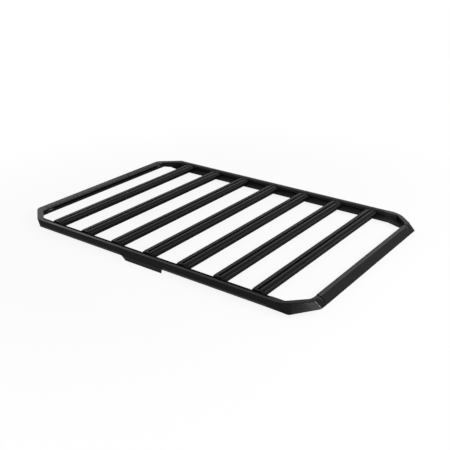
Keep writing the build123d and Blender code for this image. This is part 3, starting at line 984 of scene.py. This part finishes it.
@dataclass
class RailInlay:
    """Thin ribbed rubber strip that lies on the ledge along the inner half of a side rail's top, near black
    on the right rail as painted shade and light on the left as painted light.

    Attributes:
        cap_width: Width of the rail's top outside the ledge.
        top_width: Width of the rail's whole top.
        ledge_drop: Depth of the ledge below the top.
        base: Height of the strip between its ribs.
        rib: Height of a rib above that.
        lean: Share of a rib's width over which it rises.
        outer_gap: Room beside the rail's top.
        inner_gap: Room beside the ledge's inner edge.
        end_gap: Room at each end.
        end_run: Length over which the height runs out.
        edge_power: Power that sets how steeply the strip falls to the ledge at its edges.
        ribs: Number of ribs.
        steps: Number of points across.
    """

    rack: Rack
    cap_width: float = 19.0 * MM
    top_width: float = 36.5 * MM
    ledge_drop: float = 1.2 * MM
    base: float = 0.2 * MM
    rib: float = 0.92 * MM
    lean: float = 0.9
    outer_gap: float = 0.4 * MM
    inner_gap: float = 1.8 * MM
    end_gap: float = 1.0 * MM
    end_run: float = 0.6 * MM
    edge_power: int = 40
    ribs: int = 4
    steps: int = 121

    def build(self) -> None:
        """Builds the strips of both rails."""
        for side in Side:
            low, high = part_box(f"side_rail_{side.label}")
            outer, _ = side.edges(low, high)
            points, quads = self.surface(low.x, high.x, outer, -side.value, high.z - self.ledge_drop)
            piece = mesh_piece(f"side_rail_inlay_{side.label}", points, quads, merge=True)
            self.rack.add(piece, INLAY_FINISHES[side], "rail_coat")

    def surface(self, rear: float, front: float, outer: float, inward: float, ledge: float) -> Surface:
        """Strip as a profile carried along the rail.

        The top is a row of saw-tooth ribs: each rises evenly inwards over most of its width, then drops
        back. It falls to the ledge at both edges, as one less a high power of the distance from the middle.
        The underside is flat, and the height runs out to nothing at both ends.

        Args:
            rear: X of the rail's rear end.
            front: X of its front end.
            outer: Y of its outer face.
            inward: Sign of the way from that face to the middle of the rack.
            ledge: Height of the ledge.

        Returns:
            Points and the quads between them.
        """
        share = np.linspace(0.0, 1.0, self.steps)
        swell = 1.0 - np.abs(2.0 * share - 1.0) ** self.edge_power
        phase = np.mod(share * self.ribs, 1.0)
        tooth = np.minimum(phase / self.lean, (1.0 - phase) / (1.0 - self.lean))
        start, end = self.cap_width + self.outer_gap, self.top_width - self.inner_gap
        reach = np.concatenate((start + (end - start) * share, (end + (start - end) * share)[1:-1]))
        height = np.concatenate((swell * (self.base + self.rib * tooth), np.zeros(self.steps - 2)))
        ends = (rear + self.end_gap, front - self.end_gap)
        stations = np.array((ends[0], ends[0] + self.end_run, ends[1] - self.end_run, ends[1]))
        fullness = np.array((0.0, 1.0, 1.0, 0.0))
        x = np.repeat(stations[:, None], reach.size, axis=1)
        y = np.broadcast_to(outer + inward * reach, x.shape)
        z = ledge + fullness[:, None] * height[None, :]
        return np.stack((x, y, z), axis=-1).reshape(-1, 3), ring_quads(stations.size, reach.size)


@dataclass
class SpliceScrews:
    """Set screws that clamp the splices: one in the middle of each, in the slot's mouth."""

    rack: Rack
    head: Screw = Screw(radius=3.2 * MM, height=1.8 * MM, socket=1.5 * MM, depth=1.2 * MM)

    def build(self) -> None:
        """Builds the screws of the side, rear and front splices."""
        for group in ("side_splice_rear", "side_splice_front", "rear_splice", "front_splice"):
            facings = [self.facing(group, side) for side in Side]
            places = [
                self.spot(*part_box(f"{group}_{side.label}"), facing) for side, facing in zip(Side, facings)
            ]
            piece = self.head.many(f"{group}_screws", places, facings)
            finish = BLACK_OXIDE if group.startswith("side") else ZINC
            self.rack.add(piece, finish, "splice_metal")

    @staticmethod
    def facing(group: str, side: Side) -> Facing:
        """Returns the way in which a splice's face looks."""
        ends = {"rear_splice": Facing.FORWARD, "front_splice": Facing.REARWARD}
        return ends.get(group, side.inward)

    @staticmethod
    def spot(low: Vector, high: Vector, facing: Facing) -> Point:
        """Place of a splice's screw.

        Args:
            low: Lowest corner of the splice.
            high: Highest corner of the splice.
            facing: Direction of its face.

        Returns:
            Middle of the face.
        """
        middle = np.array((low + high) / 2)
        half = np.array((high - low) / 2)
        return tuple((middle + half * np.array(facing.value)).tolist())


@dataclass
class CornerScrews:
    """Cap screws at the bottom of the corners' recesses, which pull the corners on to the splices.

    Attributes:
        wall: Width of a side rail, from its outer face to its inner wall.
        end_wall: Width of the rear rail in the same way.
        recess: Depth of a recess in those walls.
        side_drop: Depth of the side screws below the top.
        end_drop: Depth of the end screws below the top.
        rear_setback: Distance of a side screw from the rear corner's front end.
        front_setback: Distance of a side screw from the front corner's rear end.
        end_setback: Distance of an end screw from the rear corner's inner end.
    """

    rack: Rack
    head: Screw = Screw(radius=3.7 * MM, height=4.0 * MM, socket=2.0 * MM, depth=2.2 * MM, dome=0.15)
    wall: float = 36.5 * MM
    end_wall: float = 59.0 * MM
    recess: float = 10.0 * MM
    side_drop: float = 19.0 * MM
    end_drop: float = 11.0 * MM
    rear_setback: float = 8.0 * MM
    front_setback: float = 44.0 * MM
    end_setback: float = 17.5 * MM

    def build(self) -> None:
        """Builds the screws beside the side rails and those beside the rear rail."""
        side_places: list[Point] = []
        side_facings: list[Facing] = []
        end_places: list[Point] = []
        for side in Side:
            low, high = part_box(f"rear_corner_{side.label}")
            front_low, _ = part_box(f"front_corner_{side.label}")
            outer, inner = side.edges(low, high)
            floor = outer - side.value * (self.wall - self.recess)
            for x in (high.x - self.rear_setback, front_low.x + self.front_setback):
                side_places.append((x, floor, high.z - self.side_drop))
                side_facings.append(side.inward)
            end_floor = low.x + self.end_wall - self.recess
            end_places.append((end_floor, inner + side.value * self.end_setback, high.z - self.end_drop))
        piece = self.head.many("side_corner_screws", side_places, side_facings)
        self.rack.add(piece, BLACK_OXIDE, "splice_metal")
        piece = self.head.many("end_corner_screws", end_places, [Facing.FORWARD] * len(end_places))
        self.rack.add(piece, BLACK_OXIDE, "splice_metal")


@dataclass
class BarNuts:
    """Nuts under the shelf that pull each bar end down."""

    rack: Rack
    nut: Screw = Screw(
        radius=7.0 * MM, height=6.5 * MM, socket=3.2 * MM, depth=1.5 * MM, dome=0.2, hexagon=True
    )
    bars: int = 7

    def build(self) -> None:
        """Builds one nut under the middle of each bracket."""
        places: list[Point] = []
        for number in range(1, self.bars + 1):
            for side in Side:
                low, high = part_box(f"bar_bracket_{number}_{side.label}")
                shelf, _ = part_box(f"side_rail_{side.label}")
                middle = (low + high) / 2
                places.append((middle.x, middle.y, shelf.z))
        piece = self.nut.many("bar_end_nuts", places, [Facing.DOWN] * len(places))
        self.rack.add(piece, ZINC, "splice_metal")


@dataclass
class PlateScrews:
    """Button heads under the side plate's return.

    Attributes:
        count: Number of screws.
        inset: Distance of the outer ones from the plate's ends.
        thickness: Thickness of the return, which lies against the rail's underside.
    """

    rack: Rack
    head: Screw = Screw(radius=5.0 * MM, height=2.6 * MM, socket=2.4 * MM, depth=1.6 * MM)
    count: int = 3
    inset: float = 50.0 * MM
    thickness: float = 3.0 * MM

    def build(self) -> None:
        """Builds the row of screws along the return."""
        low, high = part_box("side_plate")
        rail_low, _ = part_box("side_rail_right")
        spots = np.linspace(low.x + self.inset, high.x - self.inset, self.count)
        places = [(x, (low.y + high.y) / 2, rail_low.z - self.thickness) for x in spots.tolist()]
        piece = self.head.many("side_plate_screws", places, [Facing.DOWN] * self.count)
        self.rack.add(piece, ZINC, "plate_coat")


@dataclass(frozen=True, kw_only=True)
class SoftBox:
    """Soft lamp that looks at a point, with its sizes in metres and its power in watts."""

    name: str
    place: Point
    aim: Point
    width: float
    height: float
    power: float

    def build(self) -> None:
        """Hangs the lamp."""
        lamp = bpy.data.lights.new(self.name, "AREA")
        lamp.shape = "RECTANGLE"
        lamp.size = self.width
        lamp.size_y = self.height
        lamp.energy = self.power
        hung = bpy.data.objects.new(self.name, lamp)
        hung.location = self.place
        hung.rotation_euler = (Vector(self.aim) - Vector(self.place)).to_track_quat("-Z", "Y").to_euler()
        hung.visible_camera = False
        bpy.context.scene.collection.objects.link(hung)


MIDDLE: Point = (0.0, 0.0, 0.0)
REAR: Point = (-0.8, 0.0, 0.0)
CORNER: Point = (0.93, -0.54, 0.05)
CHAMFER: Point = (0.90, -0.57, 0.05)
LAMPS: tuple[SoftBox, ...] = (
    SoftBox(name="rear_lamp", place=(-4.2, 1.9, 1.75), aim=REAR, width=2.2, height=1.6, power=30.0),
    SoftBox(name="back_lamp", place=(-2.2, 4.15, 1.65), aim=MIDDLE, width=3.6, height=0.9, power=14.0),
    SoftBox(name="corner_lamp", place=(3.65, -0.44, 2.42), aim=CORNER, width=3.0, height=0.5, power=64.0),
    SoftBox(name="edge_lamp", place=(3.04, 1.23, 2.36), aim=CORNER, width=0.35, height=0.35, power=20.0),
    SoftBox(name="chamfer_lamp", place=(3.66, -2.23, 1.67), aim=CHAMFER, width=0.9, height=0.55, power=30.0),
    SoftBox(name="nose_lamp", place=(2.9, 3.0, 0.7), aim=MIDDLE, width=1.2, height=0.8, power=20.0),
)


@dataclass(frozen=True)
class ViewPoint:
    """Camera where the photograph was taken from, with angles in degrees and the lens in millimetres."""

    place: Point = (2.2469, -3.0237, 1.6630)
    azimuth: float = 36.268
    elevation: float = 23.704
    roll: float = -0.146
    lens: float = 56.951
    sensor: float = 36.0
    far: float = 100.0

    def build(self) -> None:
        """Places the camera: turned by the azimuth, tipped by the elevation and rolled about its axis."""
        data = bpy.data.cameras.new("camera")
        data.lens = self.lens
        data.sensor_width = self.sensor
        data.clip_end = self.far
        camera = bpy.data.objects.new("camera", data)
        turn = Matrix.Rotation(math.radians(self.azimuth), 4, "Z")
        tip = Matrix.Rotation(math.radians(90.0 - self.elevation), 4, "X")
        roll = Matrix.Rotation(math.radians(self.roll), 4, "Z")
        camera.matrix_world = Matrix.Translation(self.place) @ turn @ tip @ roll
        bpy.context.scene.collection.objects.link(camera)
        bpy.context.scene.camera = camera


@dataclass
class Studio:
    """White room: a pale floor that keeps the shadow, a white surround, soft lamps and the camera.

    Attributes:
        ambient: Strength of the surround's light.
        floor_colour: Colour of the floor's paper.
        floor_radius: Radius of the floor.
        floor_drop: Depth of the floor below the rack's lowest point.
        hub: Reading of the innermost ring, where the outermost has 1.
        rings: Number of the floor's rings.
        spokes: Number of points in each ring.
        white_share: Share of plain white near the rack, where the floor is seen.
        fade: Distances from the middle at which that share starts to grow, and at which it is whole.
        lamps: The lamps.
        view: The camera.
    """

    ambient: float = 0.48
    floor_colour: Colour = (0.90, 0.90, 0.90)
    floor_radius: float = 14.0
    floor_drop: float = 0.2 * MM
    hub: float = 0.001
    rings: int = 9
    spokes: int = 48
    white_share: float = 0.89
    fade: Span = (1.15, 2.2)
    lamps: tuple[SoftBox, ...] = LAMPS
    view: ViewPoint = ViewPoint()

    def build(self) -> None:
        """Builds the surround, the floor, the lamps and the camera."""
        self.surround()
        self.floor()
        for lamp in self.lamps:
            lamp.build()
        self.view.build()
        bpy.context.scene.view_settings.view_transform = "Standard"

    @staticmethod
    def seen(graph: Graph) -> Socket:
        """Tells which rays show the background.

        Args:
            graph: Node tree to fill.

        Returns:
            Socket with 1 for rays from the camera, off gloss or through glass, and 0 for others.
        """
        path = graph.add("ShaderNodeLightPath").outputs
        gloss = graph.math("MAXIMUM", path["Is Glossy Ray"], path["Is Transmission Ray"])
        return graph.math("MAXIMUM", path["Is Camera Ray"], gloss)

    def surround(self) -> None:
        """Sets the surround: white where it is seen, and an even ambient light elsewhere."""
        world = bpy.data.worlds.new("surround")
        world.use_nodes = True
        graph = Graph(world.node_tree)
        strength = graph.remap(self.seen(graph), NONE_TO_ALL, (self.ambient, 1.0))
        back = graph.add("ShaderNodeBackground", {"Color": (1.0, 1.0, 1.0, 1.0), "Strength": strength})
        graph.add("ShaderNodeOutputWorld", {"Surface": back.outputs[0]})
        bpy.context.scene.world = world

    def floor(self) -> None:
        """Builds the floor: a disc of rings, whose radius goes by the square of their readings."""
        reading = np.linspace(self.hub, 1.0, self.rings)
        angle = np.arange(self.spokes) * (2.0 * math.pi / self.spokes)
        reach = self.floor_radius * reading[:, None] ** 2
        level = np.full((self.rings, self.spokes), -self.floor_drop)
        points = np.stack((reach * np.cos(angle), reach * np.sin(angle), level), axis=-1)
        upward = ring_quads(self.rings, self.spokes)[:, ::-1]
        piece = mesh_piece("floor", points.reshape(-1, 3), upward)
        piece.data.materials.append(self.floor_material())

    def floor_material(self) -> bpy.types.Material:
        """Makes the floor's paper: pale and matt, and seen as plain white away from the rack.

        Returns:
            A node material on object coordinates.
        """
        made = bpy.data.materials.new("floor_paper")
        made.use_nodes = True
        graph = Graph(made.node_tree)
        place = graph.add("ShaderNodeTexCoord").outputs["Object"]
        length = graph.add("ShaderNodeVectorMath", operation="LENGTH")
        graph.put(place, length.inputs[0])
        away = graph.remap(length.outputs["Value"], self.fade, (self.white_share, 1.0))
        paper = graph.add("ShaderNodeBsdfDiffuse", {"Color": (*self.floor_colour, 1.0)})
        white = graph.add("ShaderNodeEmission")
        blend = graph.add("ShaderNodeMixShader")
        shaders = (graph.product(away, self.seen(graph)), paper.outputs[0], white.outputs[0])
        for value, socket in zip(shaders, blend.inputs):
            graph.put(value, socket)
        graph.add("ShaderNodeOutputMaterial", {"Surface": blend.outputs[0]})
        return made


def main() -> None:
    """Dresses the rack, adds its strips and fasteners and sets the studio round it."""
    logging.basicConfig(level=logging.INFO, format="%(name)s: %(message)s")
    rack = Rack()
    rack.dress()
    RailInlay(rack).build()
    SpliceScrews(rack).build()
    CornerScrews(rack).build()
    BarNuts(rack).build()
    PlateScrews(rack).build()
    Studio().build()


if __name__ == "__main__":
    main()
